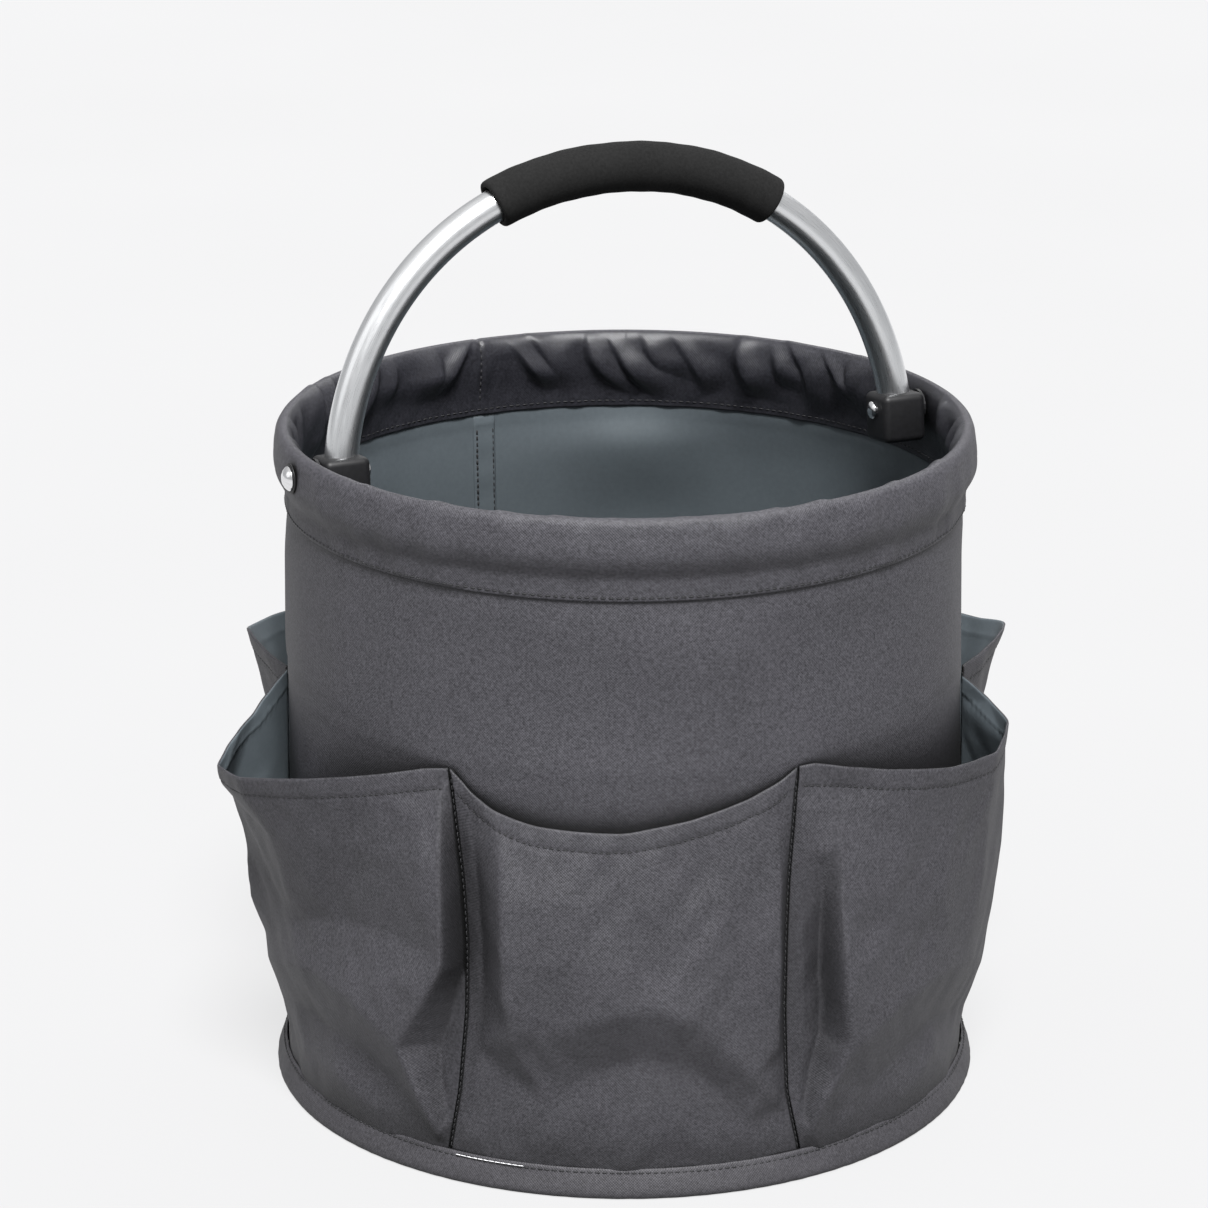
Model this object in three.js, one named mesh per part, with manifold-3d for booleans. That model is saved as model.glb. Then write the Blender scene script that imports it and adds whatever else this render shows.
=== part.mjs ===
// Round fabric tool bucket with six outer pockets and an arched tube handle.
// Millimetres. Origin: centre of the base on the floor. +Z up, front pocket toward -Y.
import * as THREE from 'three';
import { mergeVertices } from 'three/addons/utils/BufferGeometryUtils.js';
import Module from 'manifold-3d';

const wasm = await Module();
wasm.setup();

// ---------- driving dimensions ----------
const RING_SEGS = 60;            // facets round the bucket
const WALL_FOOT_R = 167.0;       // outside radius of the wall at the floor
const WALL_TOP_R = 162.6;        // outside radius of the wall under the rim
const WALL_T = 0.7;              // coated cloth
const WALL_TOP_Z = 298.0;
const LEG_Z = 290.0;             // bottom edge of the rim casing outside
const LAYER_GAP = 0.45;          // between sewn layers
const CLOTH_T = 0.8;

const HOOP_R = 163.3;            // centre of the flat-oval hoop
const PIVOT_Z = 318.0;           // height of the hoop centre and of the handle pivots
const HOOP_A = 4.1;              // half thickness across the wall
const HOOP_B = 9.6;              // half height
const CASING_T = 0.9;

const BASE_R = 168.4;
const FLANGE_R = 173.7;          // foot of the bound seam
const FLANGE_H = 13.5;

const POCKET_FOOT_Z = 1.8;
const POCKET_TOP_Z = 203.0;      // height of the mouths at the sewn dividers
const HEM_H = 9.0;               // folded hem of the mouths
const SEAM_AZ = [-30, 30, 90, 150, 210, 270];

const AXIS_AZ = 23;              // direction of the line through both pivots
const LEAN = 7;                  // the handle leans back at rest
const ARCH_W = 145.4;            // half span of the handle, tube centre
const ARCH_H = 147.6;            // rise above the springing
const ARCH_BASE = -17.5;         // springing, from the pivot
const ARCH_P = 2.07;             // roundness of the arch
const TUBE_R = 8.0;
const TUBE_BORE = 6.8;
const GRIP_R = 12.0;
const GRIP_BORE = 8.35;
const GRIP_FROM = 57;            // ends of the grip on the arch, degrees
const GRIP_TO = 114;

const BRACKET_IN = 133.0;        // inner face from the bucket axis
const BRACKET_OUT = 155.6;
const BRACKET_W = 24;
const BRACKET_LO = -16;          // from the pivot
const BRACKET_HI = 9;
const TUBE_FOOT = -12.0;
const LEG_X = 143.8;             // straight feet of the tube
const LEG_TOP = 9.6;
const RIVET_R = 2.5;
const HOLE_R = 2.9;

const COLORS = {
  cloth: 0x4a4a50,
  lining: 0x59646b,
  binding: 0x333338,
  plastic: 0x17171a,
  foam: 0x222224,
  tube: 0xc4c6c8,
  rivet: 0xd0d2d4,
  thread: 0x2a2a2e,
};

const rad = (deg) => (deg * Math.PI) / 180;
const group = new THREE.Group();
group.name = 'tool_bucket_organizer';

function add(name, geometry, color, roughness, metalness = 0) {
  const material = new THREE.MeshStandardMaterial({ color: COLORS[color], roughness, metalness });
  const mesh = new THREE.Mesh(geometry, material);
  mesh.name = name;
  mesh.geometry.computeVertexNormals();
  group.add(mesh);
  return mesh;
}

// Position-only indexed copy with shared corners.
function welded(geometry) {
  const g = geometry.clone();
  g.deleteAttribute('normal');
  if (g.attributes.uv) g.deleteAttribute('uv');
  return mergeVertices(g, 1e-4);
}

function toSolid(geometry) {
  const g = welded(geometry);
  return new wasm.Manifold(new wasm.Mesh({
    numProp: 3,
    vertProperties: new Float32Array(g.attributes.position.array),
    triVerts: new Uint32Array(g.index.array),
  }));
}

function fromSolid(solid) {
  const mesh = solid.getMesh();
  const g = new THREE.BufferGeometry();
  g.setAttribute('position', new THREE.BufferAttribute(new Float32Array(mesh.vertProperties), 3));
  g.setIndex(new THREE.BufferAttribute(new Uint32Array(mesh.triVerts), 1));
  return g;
}

// Closed profile of [radius, z] pairs turned about Z, faces outward.
function turned(profile, segments = RING_SEGS) {
  const points = profile.map(([r, z]) => new THREE.Vector2(r, z));
  if (profile[0][0] > 0) points.push(points[0].clone());
  const g = new THREE.LatheGeometry(points, segments);
  g.rotateX(Math.PI / 2);
  const w = welded(g);
  return outward(w);
}

// Flip the triangles when the enclosed volume comes out negative.
function outward(g) {
  const p = g.attributes.position;
  const ix = g.index.array;
  let volume = 0;
  const a = new THREE.Vector3();
  const b = new THREE.Vector3();
  const c = new THREE.Vector3();
  for (let i = 0; i < ix.length; i += 3) {
    a.fromBufferAttribute(p, ix[i]);
    b.fromBufferAttribute(p, ix[i + 1]);
    c.fromBufferAttribute(p, ix[i + 2]);
    volume += a.dot(b.cross(c)) / 6;
  }
  if (volume < 0) {
    for (let i = 0; i < ix.length; i += 3) {
      const keep = ix[i];
      ix[i] = ix[i + 1];
      ix[i + 1] = keep;
    }
  }
  return g;
}

// A sheet: place(u, v, side) gives the point for u, v in 0..1 and side 0 inside, 1 outside.
function sheet(nu, nv, place) {
  const g = welded(new THREE.BoxGeometry(1, 1, 1, nu, nv, 1));
  const p = g.attributes.position;
  for (let i = 0; i < p.count; i += 1) {
    const [x, y, z] = place(p.getX(i) + 0.5, p.getY(i) + 0.5, p.getZ(i) > 0 ? 1 : 0);
    p.setXYZ(i, x, y, z);
  }
  return outward(g);
}

// Point at azimuth az (degrees from the front, toward +X), radius r, height z.
const polar = (az, r, z) => [r * Math.sin(rad(az)), -r * Math.cos(rad(az)), z];

const wallOut = (z) => WALL_FOOT_R
  - (WALL_FOOT_R - WALL_TOP_R) * Math.min(z, LEG_Z) / LEG_Z;

// ---------- bucket body ----------
add('base_panel', turned([
  [0, 0],
  [BASE_R, 0],
  [BASE_R, 1.2],
  [0, 1.2],
]), 'cloth', 0.9);

add('base_board', turned([
  [0, 1.6],
  [165.4, 1.6],
  [165.4, 4.6],
  [0, 4.6],
]), 'plastic', 0.6);

add('base_binding', turned([
  [168.8, 0],
  [FLANGE_R - 0.9, 0],
  [FLANGE_R, 1.2],
  [169.9, FLANGE_H],
  [168.8, FLANGE_H],
]), 'binding', 0.85);

add('body_wall', turned([
  [wallOut(1.6) - WALL_T, 1.6],
  [wallOut(1.6), 1.6],
  [wallOut(LEG_Z), LEG_Z],
  [wallOut(LEG_Z), WALL_TOP_Z],
  [wallOut(LEG_Z) - WALL_T, WALL_TOP_Z],
  [wallOut(LEG_Z) - WALL_T, LEG_Z],
]), 'cloth', 0.85);

// Vertical joining seam on the inside of the wall.
add('side_seam', sheet(2, 8, (u, v, side) => {
  const z = 6 + v * 280;
  const r = wallOut(z) - WALL_T - 1.0 + 0.7 * side;
  const az = -152.8 + ((u - 0.5) * 10 / r) * (180 / Math.PI);
  return polar(az, r, z);
}), 'lining', 0.8);

// ---------- pockets ----------
// reach: how far the mouth stands off the wall; dip: how far it sags below the dividers.
const POCKETS = [
  { name: 'pocket_front', from: -30, reach: 9, at: 0.48, dip: 22, dipAt: 0.47, lip: 0 },
  { name: 'pocket_front_right', from: 30, reach: 25, at: 0.62, dip: 20, dipAt: 0.64, lip: 0.72 },
  { name: 'pocket_back_right', from: 90, reach: 40, at: 0.5, dip: 16, dipAt: 0.52, lip: 0.75 },
  { name: 'pocket_back', from: 150, reach: 14, at: 0.5, dip: 20, dipAt: 0.5, lip: 0 },
  { name: 'pocket_back_left', from: 210, reach: 39, at: 0.5, dip: 16, dipAt: 0.48, lip: 0.75 },
  { name: 'pocket_front_left', from: 270, reach: 38, at: 0.33, dip: 31, dipAt: 0.31, lip: 0.75 },
];
const EDGE = 0.42;               // degrees from the divider line to the cut edge

// 0 at both ends, 1 at the given place.
function hump(u, at) {
  const k = Math.log(0.5) / Math.log(at);
  return Math.sin(Math.PI * u ** k);
}

for (const pocket of POCKETS) {
  add(pocket.name, sheet(16, 10, (u, v, side) => {
    const top = POCKET_TOP_Z - pocket.dip * hump(u, pocket.dipAt) ** 1.15;
    const height = top - POCKET_FOOT_Z;
    const w = v < 0.1 ? v * 0.5 : 0.05 + (1 - 0.05) * (1 - (1 - (v - 0.1) / 0.9) ** 1.35);
    const z = POCKET_FOOT_Z + height * w;
    const below = top - z;
    const belly = Math.max(0, 1 - (below / (top - 22)) ** 2);
    const flare = below < 90 ? Math.exp(-((below / 25) ** 2)) : 0;
    const out = pocket.reach * hump(u, pocket.at) ** 1.25
      * ((1 - pocket.lip) * belly + pocket.lip * flare);
    const thick = below < HEM_H ? CLOTH_T * 1.6 : CLOTH_T;
    const r = wallOut(z) + LAYER_GAP + out + thick * side;
    const az = pocket.from + EDGE + (60 - 2 * EDGE) * u;
    return polar(az, r, z);
  }), 'cloth', 0.85);
}

// Thread lines that hold the pockets down between the mouths.
const SEAM_NAMES = ['front_left', 'front_right', 'right', 'back_right', 'back_left', 'left'];
SEAM_AZ.forEach((seamAz, i) => {
  add(`divider_seam_${SEAM_NAMES[i]}`, sheet(1, 5, (u, v, side) => {
    const z = 15 + v * (POCKET_TOP_Z - 17);
    const r = wallOut(z) + LAYER_GAP + 0.8 * side;
    const az = seamAz + ((u - 0.5) * 1.2 / r) * (180 / Math.PI);
    return polar(az, r, z);
  }), 'thread', 0.8);
});

// ---------- rim ----------
function ovalArc(a, b, from, to, steps) {
  const points = [];
  for (let i = 0; i <= steps; i += 1) {
    const t = rad(from + ((to - from) * i) / steps);
    points.push([HOOP_R + a * Math.cos(t), PIVOT_Z + b * Math.sin(t)]);
  }
  return points;
}

// Rod along the pivot line, from radius r0 to r1, at one side of the bucket (sideSign +1 or -1).
function onPivotLine(geometry, sideSign) {
  const g = geometry;
  if (sideSign < 0) g.rotateZ(Math.PI);
  g.rotateZ(rad(AXIS_AZ));
  g.translate(0, 0, PIVOT_Z);
  return g;
}

// Turned part whose axis is the pivot line; profile is [radius, distance from the bucket axis].
function pivotTurned(profile, sideSign, segments = 20) {
  const g = turned(profile, segments);
  g.rotateY(Math.PI / 2);
  return onPivotLine(outward(g), sideSign);
}

function pivotDrill(r, from, to, sideSign) {
  return toSolid(pivotTurned([[0, from], [r, from], [r, to], [0, to]], sideSign, 20));
}

const hoop = toSolid(turned(ovalArc(HOOP_A, HOOP_B, 0, 330, 11)))
  .subtract(pivotDrill(HOLE_R, 150, 180, 1))
  .subtract(pivotDrill(HOLE_R, 150, 180, -1));
add('rim_hoop', fromSolid(hoop), 'plastic', 0.5);

const outerA = HOOP_A + 0.35 + CASING_T;
const outerB = HOOP_B + 0.35 + CASING_T;
const innerLeg = wallOut(LEG_Z) - WALL_T - 0.25;
const outerLeg = wallOut(LEG_Z) + 0.25;
const casing = toSolid(turned([
  [outerLeg, LEG_Z],
  [outerLeg + CASING_T, LEG_Z],
  [outerLeg + CASING_T, 300],
  ...ovalArc(outerA, outerB, -48, 240, 12),
  [innerLeg - CASING_T, 302],
  [innerLeg - CASING_T, LEG_Z - 1],
  [innerLeg, LEG_Z - 1],
  [innerLeg, 303],
  ...ovalArc(HOOP_A + 0.35, HOOP_B + 0.35, 240, -60, 10),
  [outerLeg, 303],
]))
  .subtract(pivotDrill(HOLE_R, 150, 180, 1))
  .subtract(pivotDrill(HOLE_R, 150, 180, -1));
add('rim_casing', fromSolid(casing), 'cloth', 0.85);

// ---------- handle ----------
// Centre line of the tube in the handle's own plane, [x, z] from the pivot line.
function archPoint(t) {
  const c = Math.cos(t);
  const s = Math.sin(t);
  const x = ARCH_W * Math.sign(c) * Math.abs(c) ** (2 / ARCH_P);
  const z = ARCH_BASE + ARCH_H * Math.abs(s) ** (2 / ARCH_P);
  return new THREE.Vector3(x, 0, z);
}

// Hollow tube along a curve that lies in the XZ plane, with flat open ends.
function planarTube(path, outer, bore, segments) {
  const position = [];
  const index = [];
  const across = new THREE.Vector3(0, 1, 0);
  path.forEach((point, i) => {
    const before = path[Math.max(i - 1, 0)];
    const after = path[Math.min(i + 1, path.length - 1)];
    const along = after.clone().sub(before).normalize();
    const normal = new THREE.Vector3().crossVectors(along, across);
    for (const r of [outer, bore]) {
      for (let k = 0; k < segments; k += 1) {
        const t = (2 * Math.PI * k) / segments;
        const q = point.clone()
          .addScaledVector(normal, r * Math.cos(t))
          .addScaledVector(across, r * Math.sin(t));
        position.push(q.x, q.y, q.z);
      }
    }
  });
  const at = (i, ring, k) => (i * 2 + ring) * segments + (k % segments);
  const quad = (a, b, c, d) => index.push(a, b, c, a, c, d);
  for (let k = 0; k < segments; k += 1) {
    for (let i = 0; i < path.length - 1; i += 1) {
      quad(at(i, 0, k), at(i, 0, k + 1), at(i + 1, 0, k + 1), at(i + 1, 0, k));
      quad(at(i, 1, k + 1), at(i, 1, k), at(i + 1, 1, k), at(i + 1, 1, k + 1));
    }
    const end = path.length - 1;
    quad(at(0, 0, k + 1), at(0, 0, k), at(0, 1, k), at(0, 1, k + 1));
    quad(at(end, 0, k), at(end, 0, k + 1), at(end, 1, k + 1), at(end, 1, k));
  }
  const g = new THREE.BufferGeometry();
  g.setAttribute('position', new THREE.BufferAttribute(new Float32Array(position), 3));
  g.setIndex(new THREE.BufferAttribute(new Uint32Array(index), 1));
  return outward(g);
}

// From the handle's own plane to its leaning place over the bucket.
function placeHandle(g) {
  g.rotateX(rad(-LEAN));
  g.rotateZ(rad(AXIS_AZ));
  g.translate(0, 0, PIVOT_Z);
  return g;
}

const tubePath = [];
tubePath.push(new THREE.Vector3(LEG_X, 0, TUBE_FOOT));
tubePath.push(new THREE.Vector3(LEG_X, 0, LEG_TOP));
for (let deg = 12; deg <= 168; deg += 6) {
  tubePath.push(archPoint(rad(deg)));
}
tubePath.push(new THREE.Vector3(-LEG_X, 0, LEG_TOP));
tubePath.push(new THREE.Vector3(-LEG_X, 0, TUBE_FOOT));
const drillLocal = (r) => toSolid(
  outward(turned([[0, 120], [r, 120], [r, 170], [0, 170]], 20).rotateY(Math.PI / 2)),
);
const drillRight = drillLocal(HOLE_R);
const drillLeft = drillRight.rotate([0, 0, 180]);
const tube = toSolid(planarTube(tubePath, TUBE_R, TUBE_BORE, 16))
  .subtract(drillRight)
  .subtract(drillLeft);
add('handle_tube', placeHandle(fromSolid(tube)), 'tube', 0.35, 0.9);

const gripPath = [];
for (let i = 0; i <= 14; i += 1) {
  gripPath.push(archPoint(rad(GRIP_FROM + ((GRIP_TO - GRIP_FROM) * i) / 14)));
}
add('foam_grip', placeHandle(planarTube(gripPath, GRIP_R, GRIP_BORE, 16)), 'foam', 0.95);

function bracketSolid(sideSign) {
  const depth = BRACKET_OUT - BRACKET_IN;
  const x = depth / 2;
  const y = BRACKET_W / 2;
  const c = 4;
  const shape = new THREE.Shape();
  shape.moveTo(-x + c, -y);
  shape.lineTo(x - c, -y);
  shape.quadraticCurveTo(x, -y, x, -y + c);
  shape.lineTo(x, y - c);
  shape.quadraticCurveTo(x, y, x - c, y);
  shape.lineTo(-x + c, y);
  shape.quadraticCurveTo(-x, y, -x, y - c);
  shape.lineTo(-x, -y + c);
  shape.quadraticCurveTo(-x, -y, -x + c, -y);
  const block = new THREE.ExtrudeGeometry(shape, {
    depth: BRACKET_HI - BRACKET_LO,
    bevelEnabled: false,
    curveSegments: 4,
  });
  block.translate((BRACKET_IN + BRACKET_OUT) / 2, 0, BRACKET_LO);
  const socket = turned([
    [0, TUBE_FOOT - 0.6],
    [TUBE_R + 0.45, TUBE_FOOT - 0.6],
    [TUBE_R + 0.45, 40],
    [0, 40],
  ], 24);
  socket.translate(LEG_X, 0, 0);
  const solid = toSolid(block).subtract(toSolid(socket)).subtract(drillRight);
  return sideSign > 0 ? solid : solid.rotate([0, 0, 180]);
}

const SIDES = [['right', 1], ['left', -1]];
for (const [side, sign] of SIDES) {
  add(`handle_bracket_${side}`, placeHandle(fromSolid(bracketSolid(sign))), 'plastic', 0.45);

  // Domed head outside, shank through rim, bracket and tube, peened tail inside.
  add(`pivot_rivet_${side}`, pivotTurned([
    [0, 130.0],
    [2.4, 130.1],
    [3.8, 130.9],
    [4.0, 131.6],
    [RIVET_R, 131.6],
    [RIVET_R, 170.2],
    [6.0, 170.2],
    [5.8, 171.2],
    [4.6, 172.4],
    [2.6, 173.1],
    [0, 173.4],
  ], sign), 'rivet', 0.2, 1);

  add(`outer_washer_${side}`, pivotTurned([
    [RIVET_R + 0.35, 169.1],
    [8.5, 169.1],
    [8.5, 169.8],
    [RIVET_R + 0.35, 169.8],
  ], sign), 'plastic', 0.5);

  add(`pivot_spacer_${side}`, pivotTurned([
    [RIVET_R + 0.35, 156.0],
    [8.0, 156.0],
    [8.0, 157.3],
    [RIVET_R + 0.35, 157.3],
  ], sign), 'plastic', 0.5);

  add(`rivet_burr_${side}`, pivotTurned([
    [RIVET_R + 0.3, 131.9],
    [6.0, 131.9],
    [6.0, 132.7],
    [RIVET_R + 0.3, 132.7],
  ], sign), 'rivet', 0.3, 1);
}

export default group;
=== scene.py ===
"""Round cloth tool bucket with six outer pockets, a rolled rim and an arched tube handle."""
import math

import bmesh
import bpy
import numpy as np
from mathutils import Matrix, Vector
from mathutils.geometry import delaunay_2d_cdt


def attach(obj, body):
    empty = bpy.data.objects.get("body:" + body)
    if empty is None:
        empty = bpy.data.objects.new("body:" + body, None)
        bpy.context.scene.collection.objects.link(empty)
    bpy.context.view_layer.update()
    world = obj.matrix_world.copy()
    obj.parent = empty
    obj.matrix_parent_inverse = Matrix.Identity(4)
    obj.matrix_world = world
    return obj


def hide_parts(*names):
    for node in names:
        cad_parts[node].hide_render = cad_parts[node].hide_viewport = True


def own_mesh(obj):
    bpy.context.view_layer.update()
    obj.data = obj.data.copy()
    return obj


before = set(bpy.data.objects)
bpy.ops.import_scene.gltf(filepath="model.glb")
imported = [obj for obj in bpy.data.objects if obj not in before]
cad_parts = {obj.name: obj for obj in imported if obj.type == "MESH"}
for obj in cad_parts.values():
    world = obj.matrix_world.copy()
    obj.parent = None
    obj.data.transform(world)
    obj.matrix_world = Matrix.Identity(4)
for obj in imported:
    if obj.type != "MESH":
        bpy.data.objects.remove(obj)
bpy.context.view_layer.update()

MM = 0.001

# ---------- the frame's dimensions, mm and degrees (azimuth 0 is the front, -Y) ----------
WALL_FOOT_R, WALL_TOP_R, LEG_Z, WALL_TOP_Z = 167.0, 162.6, 290.0, 291.0
POCKET_FOOT_Z = 2.0
PIVOT_Z = 318.0
AXIS_AZ, LEAN = 23.0, 7.0
ARCH_W, ARCH_H, ARCH_BASE, ARCH_P = 145.4, 147.6, -17.5, 2.07
LEG_X, TUBE_FOOT = 143.8, -12.0
TUBE_R, TUBE_BORE, GRIP_R = 8.0, 6.8, 12.0
GRIP_FROM, GRIP_TO = 57.0, 114.0
SEAM_AZ_INSIDE = -152.8
WALL_T, CASING_T, POCKET_HALF_T = 0.7, 0.45, 0.34
RIM_COLUMNS = 1200


# ---------- small geometry helpers ----------
def wall_out(z):
    return WALL_FOOT_R - (WALL_FOOT_R - WALL_TOP_R) * np.minimum(z, LEG_Z) / LEG_Z


def polar(az, r, z):
    a = np.radians(az)
    az, r, z = np.broadcast_arrays(a, r, z)
    return np.stack([r * np.sin(a), -r * np.cos(a), z + 0.0 * a], -1)


def to_polar(p):
    r = np.hypot(p[..., 0], p[..., 1])
    return np.degrees(np.arctan2(p[..., 0], -p[..., 1])), r, p[..., 2]


def waves(az, z, seed, terms, k_range, m_range):
    """Smooth noise round the bucket, about -1..1: whole waves in azimuth, so that it closes."""
    rng = np.random.default_rng(seed)
    total = 0.0
    for _ in range(terms):
        k = int(rng.integers(*k_range))
        m = rng.uniform(*m_range) * rng.choice([-1, 1])
        total = total + rng.uniform(0.5, 1) * np.sin(np.radians(az) * k + z * m + rng.uniform(0, 6.28))
    return total / (0.6 * terms ** 0.5 + 0.3)


def bump(x, centre, width):
    return np.exp(-(((x - centre) / width) ** 2))


def smooth_step(x, a, b):
    t = np.clip((x - a) / (b - a), 0, 1)
    return t * t * (3 - 2 * t)


def spline(points, count):
    """Even points on a Catmull-Rom curve through the given 2-D or 3-D points."""
    p = np.asarray(points, float)
    p = np.vstack([2 * p[0] - p[1], p, 2 * p[-1] - p[-2]])
    fine = []
    for i in range(1, len(p) - 2):
        t = np.linspace(0, 1, 24, endpoint=False)[:, None]
        a, b, c, d = p[i - 1], p[i], p[i + 1], p[i + 2]
        fine.append(0.5 * (2 * b + (c - a) * t + (2 * a - 5 * b + 4 * c - d) * t**2
                           + (3 * b - a - 3 * c + d) * t**3))
    fine = np.vstack(fine + [p[-2][None]])
    return resample(fine, count)


def resample(line, count):
    step = np.linalg.norm(np.diff(line, axis=0), axis=1)
    s = np.concatenate([[0], np.cumsum(step)])
    at = np.linspace(0, s[-1], count)
    return np.stack([np.interp(at, s, line[:, k]) for k in range(line.shape[1])], -1)


def unit(v):
    return v / np.maximum(np.linalg.norm(v, axis=-1, keepdims=True), 1e-9)


def grid_normals(p, wrap):
    """Normals of a grid of points [u, v, 3], pointing along du x dv."""
    if wrap:
        du = np.roll(p, -1, 0) - np.roll(p, 1, 0)
    else:
        du = np.gradient(p, axis=0)
    dv = np.gradient(p, axis=1)
    return unit(np.cross(du, dv))


def mesh_object(name, verts, faces, materials, index=None, uv=None, smooth=True):
    mesh = bpy.data.meshes.new(name)
    mesh.from_pydata([tuple(v) for v in np.asarray(verts) * MM], [], [tuple(map(int, f)) for f in faces])
    for m in materials:
        mesh.materials.append(m)
    if index is not None:
        mesh.polygons.foreach_set("material_index", np.asarray(index, np.int32))
    mesh.polygons.foreach_set("use_smooth", [smooth] * len(mesh.polygons))
    if uv is not None:
        layer = mesh.uv_layers.new(name="UVMap")
        loops = np.empty(len(mesh.loops), np.int32)
        mesh.loops.foreach_get("vertex_index", loops)
        layer.data.foreach_set("uv", (np.asarray(uv)[loops] * MM).astype(np.float32).ravel())
    mesh.validate()
    mesh.update()
    obj = bpy.data.objects.new(name, mesh)
    bpy.context.scene.collection.objects.link(obj)
    return obj


def shell(name, outer, inner, wrap, materials, uv_u=None, uv_v=None):
    """A thin closed sheet between two grids [u, v, 3] in mm. The first material is outside, the
    second inside. wrap joins the last column to the first."""
    nu, nv = outer.shape[:2]
    if uv_u is None:
        mid = outer[:, nv // 2]
        uv_u = np.concatenate([[0], np.cumsum(np.linalg.norm(np.diff(mid, axis=0), axis=1))])
    if uv_v is None:
        mid = outer[nu // 2]
        uv_v = np.concatenate([[0], np.cumsum(np.linalg.norm(np.diff(mid, axis=0), axis=1))])
    verts = np.vstack([outer.reshape(-1, 3), inner.reshape(-1, 3)])
    uu, vv = np.meshgrid(uv_u, uv_v, indexing="ij")
    uv = np.stack([uu.ravel(), vv.ravel()], -1)
    uv = np.vstack([uv, uv])
    last = nu if wrap else nu - 1
    i, j = np.meshgrid(np.arange(last), np.arange(nv - 1), indexing="ij")
    a, b = i * nv + j, ((i + 1) % nu) * nv + j
    front = np.stack([a, b, b + 1, a + 1], -1).reshape(-1, 4)
    off = nu * nv
    back = front[:, ::-1] + off
    i = np.arange(last)
    a, b = i * nv, ((i + 1) % nu) * nv
    low = np.stack([a + off, b + off, b, a], -1)
    high = np.stack([a + nv - 1, b + nv - 1, b + nv - 1 + off, a + nv - 1 + off], -1)
    faces = [front, back, low, high]
    index = [np.zeros(len(front)), np.full(len(back), len(materials) - 1), np.zeros(len(low) * 2)]
    if not wrap:
        j = np.arange(nv - 1)
        end = (nu - 1) * nv
        faces.append(np.stack([j + 1, j + 1 + off, j + off, j], -1))
        faces.append(np.stack([end + j, end + j + off, end + j + 1 + off, end + j + 1], -1))
        index.append(np.zeros(2 * (nv - 1)))
    return mesh_object(name, verts, np.vstack(faces), materials, np.concatenate(index), uv)


def lathe_grid(profile, segments=64):
    """Grid of a [radius, height] profile turned about Z."""
    az = np.linspace(0, 360, segments, endpoint=False)[:, None]
    p = np.asarray(profile, float)
    return polar(az, p[None, :, 0], p[None, :, 1])


def clean(obj, dist=1e-6):
    """Weld doubled corners, drop collapsed faces and turn the faces outward."""
    bm = bmesh.new()
    bm.from_mesh(obj.data)
    bmesh.ops.remove_doubles(bm, verts=bm.verts, dist=dist)
    bmesh.ops.dissolve_degenerate(bm, edges=bm.edges, dist=dist)
    bmesh.ops.recalc_face_normals(bm, faces=bm.faces)
    bm.to_mesh(obj.data)
    bm.free()


def apply_modifiers(obj):
    deps = bpy.context.evaluated_depsgraph_get()
    mesh = bpy.data.meshes.new_from_object(obj.evaluated_get(deps))
    obj.modifiers.clear()
    obj.data = mesh


# ---------- materials ----------
def new_material(name, rough, metal=0.0):
    m = bpy.data.materials.new(name)
    m.use_nodes = True
    bsdf = m.node_tree.nodes["Principled BSDF"]
    bsdf.inputs["Roughness"].default_value = rough
    bsdf.inputs["Metallic"].default_value = metal
    return m, m.node_tree.nodes, m.node_tree.links, bsdf


def noise(nodes, links, vector, scale, detail=3.0, rough=0.55):
    n = nodes.new("ShaderNodeTexNoise")
    n.inputs["Scale"].default_value = scale
    n.inputs["Detail"].default_value = detail
    n.inputs["Roughness"].default_value = rough
    links.new(vector, n.inputs["Vector"])
    return n.outputs["Fac"]


def math_node(nodes, links, op, a, b=None):
    n = nodes.new("ShaderNodeMath")
    n.operation = op
    for k, v in enumerate([a, b]):
        if v is None:
            continue
        if isinstance(v, (int, float)):
            n.inputs[k].default_value = v
        else:
            links.new(v, n.inputs[k])
    return n.outputs[0]


def ramp(nodes, links, fac, stops):
    n = nodes.new("ShaderNodeValToRGB")
    while len(n.color_ramp.elements) < len(stops):
        n.color_ramp.elements.new(0.5)
    for e, (at, col) in zip(n.color_ramp.elements, stops):
        e.position = at
        e.color = (*col, 1)
    links.new(fac, n.inputs["Fac"])
    return n.outputs["Color"]


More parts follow.
